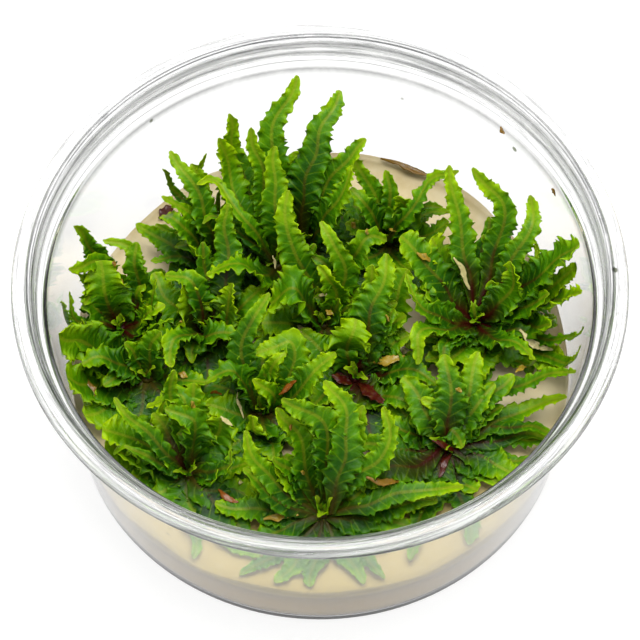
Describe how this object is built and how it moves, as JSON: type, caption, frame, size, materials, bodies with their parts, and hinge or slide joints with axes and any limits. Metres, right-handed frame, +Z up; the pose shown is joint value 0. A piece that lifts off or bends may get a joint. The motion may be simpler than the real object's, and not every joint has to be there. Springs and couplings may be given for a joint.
{
  "type": "tissue culture downoi",
  "caption": "Ruffled green aquarium plantlets growing on a slab of gel in a clear, flared round cup with a flat lip.",
  "frame": {"origin": "centre of the cup's base, on the surface it stands on", "axes": "+Z up along the cup's axis; +Y towards the side with the tallest leaves; +X to the right of it"},
  "size_m": [0.1, 0.1, 0.044],
  "materials": {
    "clear_plastic": "thin clear moulded plastic, glossy, with fine scratches and drops of condensation",
    "gel": "wet, cloudy beige growing gel",
    "plantlet": "living stem and small leaves, dark red-brown at the root and green outwards",
    "leaf": "living ruffled leaf, satin, with a yellow-green margin"
  },
  "bodies": {
    "root": {"cup": "clear_plastic", "gel": "gel", "leaf_back_high_bright": "leaf", "leaf_back_high_crest": "leaf", "leaf_back_high_mast": "leaf", "leaf_back_left_fork": "leaf", "leaf_back_left_horn": "leaf", "leaf_back_left_shelf": "leaf", "leaf_back_mid_lance": "leaf", "leaf_back_mid_peak": "leaf", "leaf_back_mid_plume": "leaf", "leaf_back_mid_spear": "leaf", "leaf_back_right_arch": "leaf", "leaf_back_right_arm": "leaf", "leaf_back_right_flag": "leaf", "leaf_centre_east": "leaf", "leaf_centre_lobe": "leaf", "leaf_centre_reach": "leaf", "leaf_front_great": "leaf", "leaf_front_left_east": "leaf", "leaf_front_left_fan_a": "leaf", "leaf_front_left_nod": "leaf", "leaf_front_right_plank": "leaf", "leaf_front_right_red": "leaf", "leaf_front_right_skid": "leaf", "leaf_front_right_sweep": "leaf", "leaf_front_runner": "leaf", "leaf_front_sickle": "leaf", "leaf_front_span": "leaf", "leaf_inner_bow": "leaf", "leaf_inner_knife": "leaf", "leaf_left_broad": "leaf", "leaf_left_claw": "leaf", "leaf_mid_back_cape": "leaf", "leaf_mid_back_point": "leaf", "leaf_mid_back_rise": "leaf", "leaf_mid_left_brown_b": "leaf", "leaf_mid_left_high": "leaf", "leaf_right_fan_a": "leaf", "leaf_right_fan_c": "leaf", "leaf_right_front": "leaf", "leaf_right_hook": "leaf", "leaf_right_tall": "leaf", "leaf_right_whip": "leaf", "leaf_upper_left_wall_a": "leaf", "leaf_upper_left_wave": "leaf", "plantlet_back_high": "plantlet", "plantlet_back_left": "plantlet", "plantlet_back_mid": "plantlet", "plantlet_back_right": "plantlet", "plantlet_centre": "plantlet", "plantlet_front": "plantlet", "plantlet_front_left": "plantlet", "plantlet_front_right": "plantlet", "plantlet_inner": "plantlet", "plantlet_left": "plantlet", "plantlet_mid_back": "plantlet", "plantlet_mid_left": "plantlet", "plantlet_right": "plantlet", "plantlet_upper_left": "plantlet"}
  },
  "joints": []
}
